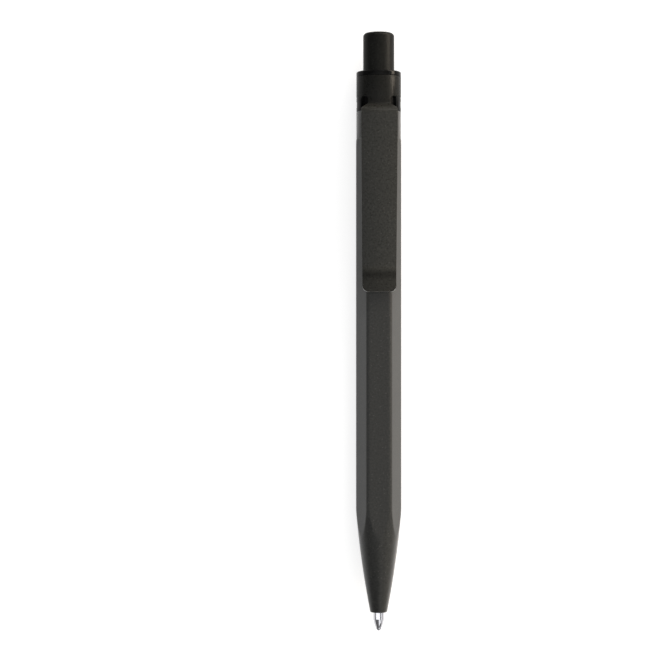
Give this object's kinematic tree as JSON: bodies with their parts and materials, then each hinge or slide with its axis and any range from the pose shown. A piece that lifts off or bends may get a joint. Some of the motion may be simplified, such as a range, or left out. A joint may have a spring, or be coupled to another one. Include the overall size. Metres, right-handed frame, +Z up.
{
  "type": "retractable ballpoint pen",
  "caption": "Slim six-sided click pen with a push button, a sprung steel pocket clip and a refill that slides out of a tapered nose.",
  "frame": {"origin": "on the table under the middle of the pen's length, with the pen lying on its back flat", "axes": "+Y along the pen from the writing tip to the push button, +Z up through the clip, +X across"},
  "size_m": [0.0106, 0.1406, 0.013],
  "materials": {
    "grey_stone_plastic": "matt mineral-filled plastic with a fine grain",
    "black_gloss_plastic": "polished black plastic",
    "dark_painted_steel": "matt dark grey paint on spring steel",
    "white_cam_plastic": "natural white acetal",
    "spring_steel": "bright drawn wire",
    "refill_plastic": "milky clear tube",
    "nickel_silver": "bright turned nickel silver",
    "ball_carbide": "polished hard metal",
    "ink_paste": "dark blue ink paste",
    "grease": "clear follower grease"
  },
  "bodies": {
    "barrel": {"barrel": "grey_stone_plastic", "mechanism_housing": "black_gloss_plastic", "end_collar": "black_gloss_plastic", "clip_ring": "dark_painted_steel", "return_spring": "spring_steel"},
    "clip": {"clip_leaf": "dark_painted_steel"},
    "button": {"push_button": "grey_stone_plastic", "cam_driver": "white_cam_plastic"},
    "rotor": {"cam_rotor": "white_cam_plastic"},
    "refill": {"refill_tube": "refill_plastic", "refill_tip": "nickel_silver", "ink_column": "ink_paste", "grease_plug": "grease"},
    "ball": {"writing_ball": "ball_carbide"}
  },
  "joints": [
    {"name": "button_press", "type": "slide", "parent": "barrel", "child": "button", "axis": [0, 1, 0], "range_m": [-0.0012, 0.0055], "deforming": ["return_spring"]},
    {"name": "rotor_slide", "type": "slide", "parent": "barrel", "child": "rotor", "axis": [0, 1, 0], "range_m": [-0.0012, 0.0055]},
    {"name": "refill_slide", "type": "slide", "parent": "barrel", "child": "refill", "axis": [0, 1, 0], "range_m": [-0.0012, 0.0055]},
    {"name": "clip_flex", "type": "hinge", "parent": "barrel", "child": "clip", "pos_m": [0, 0.05505, 0.01021], "axis": [-1, 0, 0], "range_deg": [0, 4], "stiffness_Nm_per_rad": 1.5, "springref_deg": -0.57},
    {"name": "ball_roll", "type": "hinge", "parent": "refill", "child": "ball", "pos_m": [0, -0.06985, 0.00525], "axis": [1, 0, 0], "continuous": true}
  ],
  "couplings": [
    {"joint": "rotor_slide", "follows": "button_press", "ratio": 1},
    {"joint": "refill_slide", "follows": "button_press", "ratio": 1}
  ]
}
